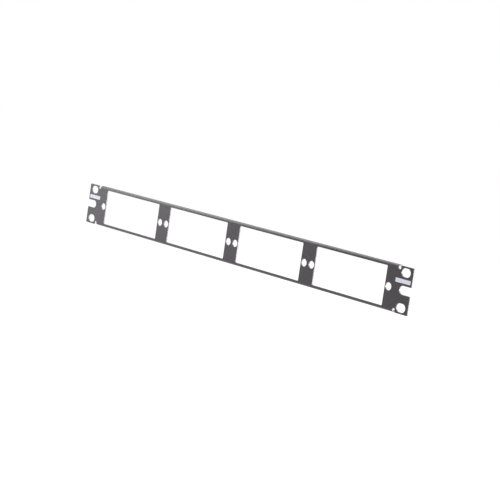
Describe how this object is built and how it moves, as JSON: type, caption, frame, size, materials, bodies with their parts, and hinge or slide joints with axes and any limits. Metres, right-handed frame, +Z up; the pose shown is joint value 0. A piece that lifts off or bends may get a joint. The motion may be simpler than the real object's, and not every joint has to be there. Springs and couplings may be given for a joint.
{
  "type": "fibre patch panel",
  "caption": "Rack front plate folded from one sheet, with a row of rectangular windows for fibre adapter modules, latch holes beside them and slotted ears.",
  "frame": {"origin": "centre of the four rack slots, on the rear face of the ears that seats on the rack rails", "axes": "+X along the plate to the right as seen from the front, +Y to the rear into the rack, +Z up"},
  "size_m": [0.4826, 0.0046, 0.043],
  "materials": {
    "powder_coat": "satin charcoal-black powder coat with a very fine texture"
  },
  "bodies": {
    "root": {"faceplate": "powder_coat"}
  },
  "joints": []
}
